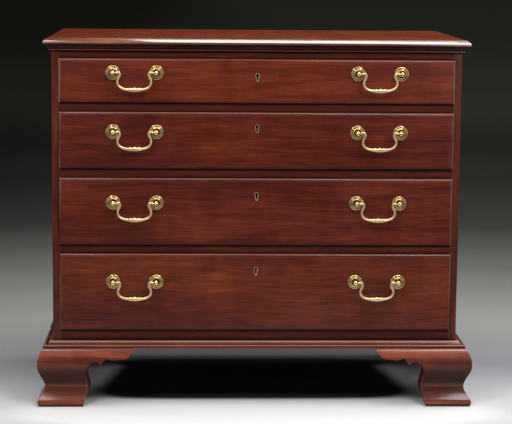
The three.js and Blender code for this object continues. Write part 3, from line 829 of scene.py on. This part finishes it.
# a near-black finish for the inside of the lock: painted shade seen through the keyhole
keyhole_painted_dark = plain_wood("lock_inside", "X", 16.0, light=0.04)


# ------------------------------------------------------------------ top and mouldings
def around(section):
    """Rings of a moulding mitred round the front and sides: section is (projection, height) in millimetres."""
    stations = [
        (-HALF, REAR_Y, -1, 0),
        (-HALF, FRONT_Y, -1, -1),
        (HALF, FRONT_Y, 1, -1),
        (HALF, REAR_Y, 1, 0),
    ]
    return [[(x + dx * p, y + dy * p, z) for p, z in section] for x, y, dx, dy in stations]


def moulding(name, section, node):
    bm = bmesh.new()
    loft(bm, around(section), slots=[1, 0, 1])
    piece = finish_mesh(name, bm, [wood_x, wood_y], angle=30)
    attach(piece, "case")
    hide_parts(node)
    return piece


edge = smooth_row(
    [
        (10.5, HEIGHT - 0.002),
        (9.3, HEIGHT - 0.3),
        (7.9, HEIGHT - 1.1),
        (5.2, HEIGHT - 3.0),
        (2.7, HEIGHT - 5.3),
        (0.8, HEIGHT - 7.6),
        (0.0, HEIGHT - 8.9),
        (0.0, HEIGHT - 12.6),
        (0.5, HEIGHT - 13.1),
        (1.8, HEIGHT - 13.4),
        (5.2, HEIGHT - 14.8),
        (8.6, HEIGHT - 17.2),
        (10.6, HEIGHT - 20.0),
    ],
    0.8,
    corners=(6, 7, 8, 9),
)
bm = bmesh.new()
rings = []
for inset, z in edge:
    w, front = TOP_HALF - inset, TOP_FRONT + inset
    soft = 0.5  # the corners are very slightly rounded in plan
    rings.append(
        [
            (-w, front + soft, z),
            (-w + soft, front, z),
            (w - soft, front, z),
            (w, front + soft, z),
            (w, TOP_REAR - 0.6, z),
            (w - 0.6, TOP_REAR, z),
            (-w + 0.6, TOP_REAR, z),
            (-w, TOP_REAR - 0.6, z),
        ]
    )
loft(bm, rings, slots=[1] * (len(rings) - 1))
for face in bm.faces:
    middle = face.calc_center_median()
    if len(face.verts) > 4:
        face.material_index = 0
    elif abs(middle.x) > (TOP_HALF - 12) * MM:
        face.material_index = 2
top = finish_mesh("top_board_moulded", bm, [wood_top, wood_edge, wood_edge_y], angle=34)
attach(top, "case")
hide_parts("top_board")

moulding(
    "under_top_moulding_fine",
    smooth_row(
        [
            (GAP, CASE_TOP),
            (7.4, CASE_TOP),
            (7.4, CASE_TOP - 1.8),
            (5.6, CASE_TOP - 2.6),
            (4.5, CASE_TOP - 4.4),
            (4.4, CASE_TOP - 5.6),
            (5.3, CASE_TOP - 6.2),
            (5.7, CASE_TOP - 7.4),
            (5.1, CASE_TOP - 8.7),
            (3.6, CASE_TOP - 9.4),
            (GAP, CASE_TOP - 9.4),
        ],
        0.6,
        corners=(1, 2, 5, 9),
    ),
    "under_top_moulding",
)
moulding(
    "base_moulding_fine",
    smooth_row(
        [
            (GAP, CASE_Z0),
            (20.6, CASE_Z0),
            (21.0, CASE_Z0 + 0.4),
            (21.0, CASE_Z0 + 5.4),
            (20.8, CASE_Z0 + 6.4),
            (20.2, CASE_Z0 + 7.1),
            (19.2, CASE_Z0 + 7.6),
            (17.8, CASE_Z0 + 7.9),
            (16.0, CASE_Z0 + 8.2),
            (13.6, CASE_Z0 + 9.0),
            (11.4, CASE_Z0 + 10.4),
            (10.7, CASE_Z0 + 10.9),
            (10.6, CASE_Z0 + 12.0),
            (9.4, CASE_Z0 + 14.0),
            (7.2, CASE_Z0 + 15.5),
            (4.2, CASE_Z0 + 16.2),
            (GAP, CASE_Z0 + 16.3),
        ],
        0.5,
        corners=(1, 2, 11),
    ),
    "base_moulding",
)

# ------------------------------------------------------------------ feet
def foot_face(face):
    normal = face.normal
    return 1 if abs(normal.x) > abs(normal.y) else 0


for corner in ("front_left", "front_right", "rear_left", "rear_right"):
    foot = copy_of_node(
        f"ogee_foot_{corner}",
        f"foot_{corner}",
        [wood_foot, wood_foot_y],
        angle=38,
        pick=foot_face,
    )
    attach(foot, "case")
    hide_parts(f"foot_{corner}")


# ------------------------------------------------------------------ case boards, kept from the solids
def dress(node, material, arris=0.5):
    """The solid's own shape, with its arrises softened by modifiers and a finish."""
    piece = nodes[node]
    if piece.material_slots:
        for s in piece.material_slots:
            s.material = material
    weld = piece.modifiers.new("shared_points", "WELD")
    weld.merge_threshold = 1e-5
    flat = piece.modifiers.new("whole_faces", "DECIMATE")
    flat.decimate_type, flat.angle_limit = "DISSOLVE", math.radians(0.6)
    soft = piece.modifiers.new("softened_arrises", "BEVEL")
    soft.width, soft.segments, soft.limit_method = arris * MM, 2, "ANGLE"
    soft.angle_limit = math.radians(40)
    soft.use_clamp_overlap = True
    return piece


for node in ("case_side_left", "case_side_right"):
    dress(node, wood_side, 0.7)
dress("case_bottom", pine_under)
dress("back_board", pine_back)
for node in ("top_rail", "drawer_divider_1", "drawer_divider_2", "drawer_divider_3"):
    dress(node, rail_wood, 0.4)
dress("bottom_rail", bottom_rail_wood, 0.4)

# ------------------------------------------------------------------ handles
ROSETTE = smooth_row(
    [
        (0.3, 3.0),
        (0.3, 16.9),
        (0.8, 17.45),
        (1.6, 17.45),
        (2.4, 16.9),
        (2.8, 16.0),
        (2.6, 15.0),
        (1.9, 14.2),
        (1.6, 13.4),
        (2.0, 12.6),
        (3.2, 11.9),
        (4.4, 11.3),
        (5.0, 10.4),
        (4.8, 9.5),
        (3.8, 8.9),
        (2.2, 8.4),
        (1.5, 7.7),
        (1.5, 6.9),
        (2.4, 6.1),
        (4.2, 5.2),
        (6.6, 4.3),
        (9.4, 3.8),
        (12.0, 4.1),
        (13.6, 5.0),
        (15.2, 5.8),
        (17.0, 6.1),
        (18.8, 5.8),
        (20.5, 4.7),
        (21.8, 3.0),
        (22.5, 1.4),
        (22.7, 0.0),
    ],
    0.45,
    corners=(1, 2, 3),
)
SHANK = [(-27.5, 0.0), (-27.5, 2.5), (-27.1, 3.0)]
for k in range(14):  # the screw thread that the nut runs on
    SHANK += [(-26.8 + 0.7 * k, 3.0), (-26.45 + 0.7 * k, 2.65)]
SHANK += [(-16.8, 3.0)]


def make_post():
    bm = bmesh.new()
    turned(bm, SHANK + [tuple(p) for p in ROSETTE], 56)
    post = finish_mesh("post_master", bm, brass, angle=40)
    bm = bmesh.new()
    turned(
        bm,
        [(-8.0, 0.0), (-8.0, 2.55), (8.0, 2.55), (8.0, 0.0)],
        24,
        Matrix.Translation((0, -PIVOT_D, 0)) @ Matrix.Rotation(math.pi / 2, 4, "Z"),
    )
    eye = finish_mesh("eye", bm, brass)
    subtract(post, eye)
    post.data.shade_smooth()
    post.data.set_sharp_from_angle(angle=math.radians(40))
    return post


# Half of the bail's centre line, from the pin's end to the middle of the grip: across, down.
BAIL_LINE = [
    (55.4, 0.0),
    (46.5, 0.0),
    (42.4, 0.9),
    (39.6, 1.6),
    (36.8, 0.9),
    (35.0, -1.7),
    (34.5, -5.2),
    (36.0, -10.2),
    (38.8, -15.6),
    (40.1, -20.8),
    (39.5, -26.2),
    (36.6, -31.2),
    (31.6, -35.3),
    (25.4, -37.9),
    (19.6, -39.2),
    (12.0, -39.7),
    (0.0, -39.9),
]
# How far the metal stands above and below that line, and to the front and back, along the grip: across, distance.
GRIP_OVER = [(0, 6.0), (2.4, 5.7), (4.6, 4.5), (5.6, 3.6), (6.6, 3.8), (8.4, 4.9), (10.4, 5.2), (12.4, 4.8), (13.8, 3.7), (14.8, 3.3), (16.2, 3.7), (17.8, 3.7), (19.4, 3.2), (21, 3.0), (25, 2.95)]
GRIP_UNDER = [(0, 5.3), (5.6, 5.0), (10, 4.7), (14.8, 3.9), (19, 3.2), (25, 2.95)]
GRIP_SIDE = [(0, 5.0), (3, 4.9), (5.6, 4.0), (8.4, 4.6), (10.4, 4.7), (14.8, 3.4), (17, 3.5), (20, 3.0), (25, 2.95)]


def make_bail():
    half = [(-x, z) for x, z in BAIL_LINE]
    line = half + [(x, z) for x, z in reversed(BAIL_LINE[:-1])]
    line = smooth_row(line, 0.9)
    sides = 20
    rings = []
    for i, p in enumerate(line):
        a, b = line[max(0, i - 1)], line[min(len(line) - 1, i + 1)]
        along = (b - a).normalized()
        across = abs(p.x)
        in_grip = p.y < -36.5
        body = between([(0, 2.95), (30, 2.9), (38, 2.7), (41, 2.6), (44, 2.3), (46.5, 2.0), (56, 2.0)], across)
        if not in_grip and p.y < -8:
            body = between([(-37, 2.95), (-24, 2.75), (-14, 2.7), (-8, 2.85)], p.y)
        if p.y > -8 and across < 40:
            body = 2.85
        over = between(GRIP_OVER, across) if in_grip else body
        under = between(GRIP_UNDER, across) if in_grip else body
        side = between(GRIP_SIDE, across) if in_grip else body
        end = min(i, len(line) - 1 - i)
        soft = {0: 0.72, 1: 1.0}.get(end, 1.0)
        ring = []
        for k in range(sides):
            t = 2 * math.pi * k / sides
            up = math.sin(t) * (over if math.sin(t) > 0 else under) * soft
            out = math.cos(t) * side * soft
            ring.append((p.x - along.y * up, out, p.y + along.x * up))
        rings.append(ring)
    bm = bmesh.new()
    loft(bm, rings)
    return finish_mesh("bail_master", bm, brass_bail_painted_light, angle=50)


def make_nut():
    """A square nut with trimmed corners, from its washer face at y 0 to y 4."""
    turns = 32

    def outline(half, trim):
        return [
            min(half / max(abs(math.cos(a)), abs(math.sin(a))), trim)
            for a in (2 * math.pi * (k + 0.5) / turns for k in range(turns))
        ]

    def ring(radii, y):
        return [
            (
                r * math.cos(2 * math.pi * (k + 0.5) / turns),
                y,
                r * math.sin(2 * math.pi * (k + 0.5) / turns),
            )
            for k, r in enumerate(radii)
        ]

    rings = [
        ring([3.15] * turns, 0.3),
        ring([3.5] * turns, 0.0),
        ring(outline(5.4, 6.9), 0.0),
        ring(outline(5.6, 7.1), 0.2),
        ring(outline(5.6, 7.1), 3.4),
        ring(outline(5.2, 6.4), 4.0),
        ring([3.6] * turns, 4.0),
        ring([3.15] * turns, 3.7),
    ]
    bm = bmesh.new()
    loft(bm, rings, closed=True)
    return finish_mesh("nut_master", bm, brass_plain, angle=30)


post_master, bail_master, nut_master = make_post(), make_bail(), make_nut()


# ------------------------------------------------------------------ keyhole liners and locks
def keyhole_ring(inset, y):
    """Outline of the keyhole: a round head over a narrower, round-ended foot."""
    r = 5.05 - inset
    w = 3.0 - inset
    points = []
    start = math.asin(min(0.95, w / r))
    for k in range(21):
        a = -math.pi / 2 + start + (2 * math.pi - 2 * start) * k / 20
        points.append((r * math.cos(a), y, 5.1 + r * math.sin(a)))
    low = -9.6 + inset + w
    for k in range(9):
        a = math.pi + math.pi * k / 8
        points.append((w * math.cos(a), y, low + w * math.sin(a)))
    return points


def make_liner():
    bm = bmesh.new()
    loft(
        bm,
        [
            keyhole_ring(0.0, 3.0),
            keyhole_ring(0.0, -7.20),
            keyhole_ring(0.08, -7.42),
            keyhole_ring(0.50, -7.42),
            keyhole_ring(0.60, -7.25),
            keyhole_ring(0.60, 3.0),
        ],
        closed=True,
    )
    return finish_mesh("liner_master", bm, brass_rim_painted_highlight, angle=35)


def make_lock(plate_high, key_down):
    """A half-mortised drawer lock, drawn from the middle of the front's top edge, at the case's front plane."""
    back = FRONT_BACK - 0.15
    bm = bmesh.new()
    # selvage on the top edge, plate on the back, and the case between, sunk in the mortise
    rounded_block(bm, -LOCK_HALF + 0.5, LOCK_HALF - 0.5, SELVAGE_Y + 0.4, back, -1.5, -0.15, 0.25)
    plate = finish_mesh("selvage", bm, brass_plain, angle=30)
    bm = bmesh.new()
    rounded_block(bm, -LOCK_HALF + 0.5, LOCK_HALF - 0.5, back - 1.4, back, -plate_high + 0.5, -1.65, 0.25)
    rounded_block(bm, -26.0, 26.0, back - 7.8, back - 1.5, -plate_high + 6.0, -2.0, 0.8)
    case = finish_mesh("lock", bm, brass_plain, angle=30)
    # the keyhole in its face, with the lock's inside behind it painted near black as shade
    bm = bmesh.new()
    key_z = key_down
    loft(
        bm,
        [
            [(x, y, z - key_z) for x, y, z in keyhole_ring(0.6, back - 9.0)],
            [(x, y, z - key_z) for x, y, z in keyhole_ring(0.6, back - 2.4)],
        ],
    )
    hole = finish_mesh("lock_hole", bm, keyhole_painted_dark, angle=30)
    subtract(case, hole)
    # the slot that the bolt rises through, and the bolt itself, flush while unlocked
    bm = bmesh.new()
    rounded_block(bm, -9.3, 9.3, back - 7.2, back - 2.4, -3.0, 1.0, 0.3)
    slot = finish_mesh("slot", bm, iron)
    subtract(plate, slot)
    bm = bmesh.new()
    rounded_block(bm, -8.8, 8.8, back - 6.8, back - 2.8, -1.95, -0.3, 0.35)
    bolt = finish_mesh("bolt", bm, iron, angle=30)
    return plate, case, bolt


def make_screw():
    """A countersunk slotted screw head, flush, facing +Y, at the origin."""
    bm = bmesh.new()
    turned(bm, [(0.9, 0.0), (0.9, 1.2), (0.25, 2.6), (0.0, 2.9), (-0.18, 2.3), (-0.26, 0.0)], 28)
    head = finish_mesh("screw_master", bm, iron, angle=25)
    bm = bmesh.new()
    rounded_block(bm, -3.2, 3.2, -0.35, 0.8, -0.32, 0.32, 0.05)
    tool = finish_mesh("screw_slot", bm, iron)
    subtract(head, tool)
    head.data.shade_smooth()
    head.data.set_sharp_from_angle(angle=math.radians(30))
    return head


liner_master, screw_master = make_liner(), make_screw()


def discard(piece):
    data = piece.data
    bpy.data.objects.remove(piece)
    if data.users == 0:
        bpy.data.meshes.remove(data)


def standing(piece, name, body, x, y, z, replaced=()):
    """A copy of a master piece at its place, in millimetres, on its body."""
    made = shared(name, piece)
    place(made, x, y, z)
    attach(made, body)
    if replaced:
        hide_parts(*replaced)
    return made


# ------------------------------------------------------------------ drawers
for i, (low, high) in enumerate(OPENINGS):
    drawer = f"drawer_{i + 1}"
    front = copy_of_node(f"{drawer}_front_lipped", f"{drawer}_front", [wood_fronts[i]], angle=32)
    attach(front, drawer)
    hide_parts(f"{drawer}_front")
    dress(f"{drawer}_side_left", pine_y, 0.25)
    dress(f"{drawer}_side_right", pine_y, 0.25)
    dress(f"{drawer}_back", pine_x, 0.25)
    dress(f"{drawer}_bottom", pine_bottom, 0.4)
    standing(liner_master, f"{drawer}_keyhole_liner", drawer, 0, FRONT_Y, KEYHOLE_Z[i])
    edge_z = high - CLEAR_TOP
    lock_parts = make_lock(LOCK_HIGH, edge_z - KEYHOLE_Z[i])
    for part, word in zip(lock_parts, ("selvage", "lock", "bolt")):
        standing(part, f"{drawer}_{word}", drawer, 0, FRONT_Y, edge_z)
        discard(part)
    for k, (sx, sz) in enumerate(((-32, -9), (32, -9), (-32, -50), (32, -50))):
        standing(screw_master, f"{drawer}_lock_screw_{k + 1}", drawer, sx, FRONT_Y + FRONT_BACK - 0.1, edge_z + sz)
    for word, side in (("left", -1), ("right", 1)):
        for end, at in (("outer", side * POST_X), ("inner", -side * POST_X)):
            name = f"handle_{i + 1}_{word}_post_{end}"
            x = side * HANDLE_X + at
            standing(post_master, f"{name}_turned", drawer, x, FRONT_Y - PROUD, HANDLE_Z[i], [name])
            standing(nut_master, f"{name}_nut", drawer, x, FRONT_Y + FRONT_BACK + 0.1, HANDLE_Z[i])
        name = f"handle_{i + 1}_{word}_bail"
        standing(
            bail_master,
            f"{name}_swan_neck",
            f"bail_{i + 1}_{word}",
            side * HANDLE_X,
            FRONT_Y - PROUD - PIVOT_D,
            HANDLE_Z[i],
            [name],
        )

for master in (post_master, bail_master, nut_master, liner_master, screw_master):
    discard(master)

# ------------------------------------------------------------------ floor, light and camera
bm = bmesh.new()
rows = [0.0, 1.5, 3.0, 6.0, 12.0, 25.0, 45.0]
turns = 64
centre = bm.verts.new((0, 0, 0))
last = None
for r in rows[1:]:
    ring = [
        bm.verts.new((r * math.cos(2 * math.pi * k / turns), r * math.sin(2 * math.pi * k / turns), 0))
        for k in range(turns)
    ]
    for k in range(turns):
        j = (k + 1) % turns
        bm.faces.new([centre, ring[k], ring[j]] if last is None else [last[k], ring[k], ring[j], last[j]])
    last = ring
floor = finish_mesh("studio_floor", bm, floor_paper(), smooth=False)
floor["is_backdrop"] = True

world = bpy.data.worlds.new("studio")
world.use_nodes = True
world.node_tree.nodes["Background"].inputs[0].default_value = (0.0088, 0.0088, 0.0080, 1)
world.node_tree.nodes["Background"].inputs[1].default_value = 1.0
bpy.context.scene.world = world


def softbox(name, at, aim, width, height, power, colour=(1, 1, 1)):
    light = bpy.data.lights.new(name, "AREA")
    light.shape, light.size, light.size_y = "RECTANGLE", width, height
    light.energy, light.color = power, colour
    lamp = bpy.data.objects.new(name, light)
    bpy.context.scene.collection.objects.link(lamp)
    lamp.location = at
    lamp.visible_camera = False
    lamp.rotation_mode = "QUATERNION"
    lamp.rotation_quaternion = (Vector(aim) - Vector(at)).to_track_quat("-Z", "Y")
    return lamp


softbox("overhead", (0.30, -0.15, 2.70), (0.30, -0.15, 0.0), 1.8, 2.0, 57)
softbox("front_left", (-0.95, -1.6, 2.08), (0.0, -0.24, 0.5), 0.7, 0.6, 16)
softbox("front_right", (0.95, -1.6, 2.08), (0.0, -0.24, 0.5), 0.7, 0.6, 18)
softbox("left", (-1.7, 0.2, 2.6), (-0.4, 0.1, 0.0), 0.8, 1.0, 9)
softbox("right", (1.7, 0.2, 2.6), (0.4, 0.1, 0.0), 0.8, 1.0, 16)
softbox("behind", (0.5, 1.75, 2.6), (0.3, 0.8, 0.0), 2.4, 0.7, 15)
softbox("card_left", (-1.45, -3.0, 1.25), (0.0, -0.2, 0.5), 1.3, 1.8, 6)
softbox("card_right", (1.45, -3.0, 1.25), (0.0, -0.2, 0.5), 1.3, 1.8, 6)
softbox("side_left", (-2.6, -0.7, 1.05), (0.0, -0.2, 0.5), 1.6, 1.8, 9)
softbox("side_right", (2.6, -0.7, 1.05), (0.0, -0.2, 0.5), 1.6, 1.8, 9)

# The camera stands as the photograph's did: 4 m before the chest, a little above its top, left of its middle.
distance, height, across = 4.0, 1.0925, -0.15125
pitch, yaw, roll = (math.radians(v) for v in (7.6732, 2.1343, 0.5006))
ahead = Vector((math.sin(yaw) * math.cos(pitch), math.cos(yaw) * math.cos(pitch), -math.sin(pitch)))
right = Vector((math.cos(yaw), -math.sin(yaw), 0.0))
up = right.cross(ahead)
right, up = right * math.cos(roll) + up * math.sin(roll), up * math.cos(roll) - right * math.sin(roll)
camera = bpy.data.objects.new("camera", bpy.data.cameras.new("camera"))
bpy.context.scene.collection.objects.link(camera)
camera.data.sensor_width = 36.0
camera.data.lens = 1679.1 / 512 * 36.0
camera.data.shift_x, camera.data.shift_y = 0.0, -0.06
camera.data.clip_start, camera.data.clip_end = 0.1, 200.0
camera.matrix_world = Matrix(
    (
        (right.x, up.x, -ahead.x, across),
        (right.y, up.y, -ahead.y, -0.2565 - distance),
        (right.z, up.z, -ahead.z, height),
        (0, 0, 0, 1),
    )
)
bpy.context.scene.camera = camera
bpy.context.scene.view_settings.view_transform = "Standard"
bpy.context.scene.view_settings.look = "None"
bpy.context.scene.view_settings.exposure = 0.0

low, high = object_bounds()
